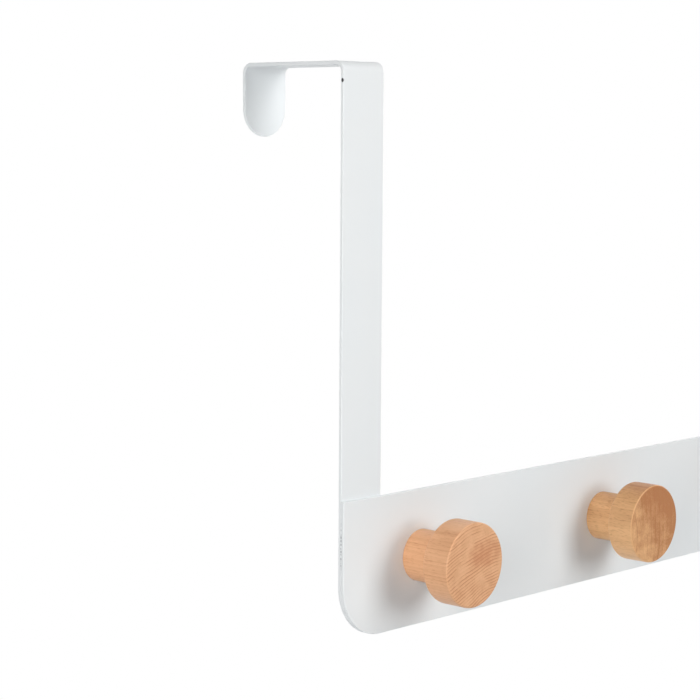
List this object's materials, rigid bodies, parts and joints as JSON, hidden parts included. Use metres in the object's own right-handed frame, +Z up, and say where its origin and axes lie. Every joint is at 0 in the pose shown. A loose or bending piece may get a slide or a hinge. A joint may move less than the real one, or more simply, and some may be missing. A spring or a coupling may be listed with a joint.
{
  "type": "over door hook",
  "caption": "Rail of turned wooden pegs on bent sheet-metal straps that hook over the top edge of a door, for hanging coats, bags and towels.",
  "frame": {"origin": "middle of the rail's length, at the top front edge of the door that it hangs on", "axes": "+Z up, +X along the rail to its right end as seen from the front, +Y from the door's front face to its back, pegs towards -Y"},
  "size_m": [0.402, 0.0767, 0.2],
  "materials": {
    "white_coat": "smooth white powder coat, satin",
    "peg_wood": "turned beech, thin satin lacquer",
    "screw_steel": "bright zinc plated"
  },
  "bodies": {
    "root": {"back_rail": "white_coat", "left_strap": "white_coat", "right_strap": "white_coat", "peg_1": "peg_wood", "peg_2": "peg_wood", "peg_3": "peg_wood", "peg_4": "peg_wood", "peg_screws": "screw_steel"}
  },
  "joints": []
}
